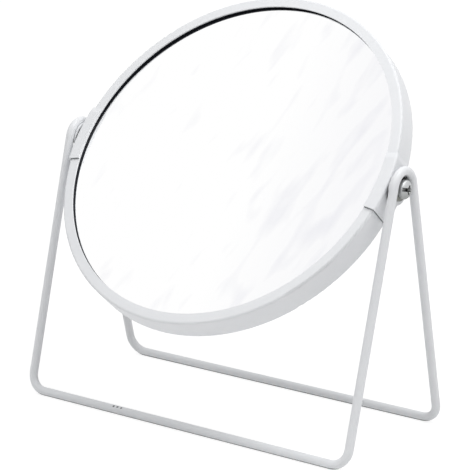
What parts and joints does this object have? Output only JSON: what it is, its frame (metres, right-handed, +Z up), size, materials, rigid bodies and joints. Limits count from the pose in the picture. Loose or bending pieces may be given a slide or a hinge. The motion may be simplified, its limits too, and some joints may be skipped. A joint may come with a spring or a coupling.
{
  "type": "standing makeup mirror",
  "caption": "Round two-sided makeup mirror in a white metal ring that tilts on side pivots in a free-standing stand bent from one closed loop of steel wire.",
  "frame": {"origin": "on the table, midway between the front and rear bars and straight below the middle of the pivot axis", "axes": "+Z up, +X along the pivot axis to the right of a user who faces the mirror, the user sits towards -Y"},
  "size_m": [0.1852, 0.1184, 0.1864],
  "materials": {
    "white_powder_coat": "satin white powder coat",
    "mirror_glass": "silvered float glass",
    "black_gasket": "matt black gasket",
    "foam_strip": "closed-cell foam strip",
    "bright_zinc": "bright zinc plated steel",
    "black_nylon": "black nylon sheet"
  },
  "bodies": {
    "stand": {"stand_wire": "white_powder_coat", "pivot_tab_left": "white_powder_coat", "pivot_tab_right": "white_powder_coat"},
    "mirror_head": {"upper_band": "white_powder_coat", "lower_band": "white_powder_coat", "front_mirror": "mirror_glass", "rear_mirror": "mirror_glass", "front_gasket": "black_gasket", "rear_gasket": "black_gasket", "spacer_ring": "foam_strip", "upper_liner": "foam_strip", "lower_liner": "foam_strip", "saddle_clip_left": "white_powder_coat", "joint_plate_left": "bright_zinc", "friction_washer_left": "black_nylon", "flat_washer_left": "black_nylon", "spring_washer_left": "bright_zinc", "pivot_screw_left": "bright_zinc", "saddle_clip_right": "white_powder_coat", "joint_plate_right": "bright_zinc", "friction_washer_right": "black_nylon", "flat_washer_right": "black_nylon", "spring_washer_right": "bright_zinc", "pivot_screw_right": "bright_zinc"}
  },
  "joints": [
    {"name": "mirror_tilt", "type": "hinge", "parent": "stand", "child": "mirror_head", "pos_m": [0, 0, 0.1175], "axis": [1, 0, 0], "continuous": true}
  ]
}
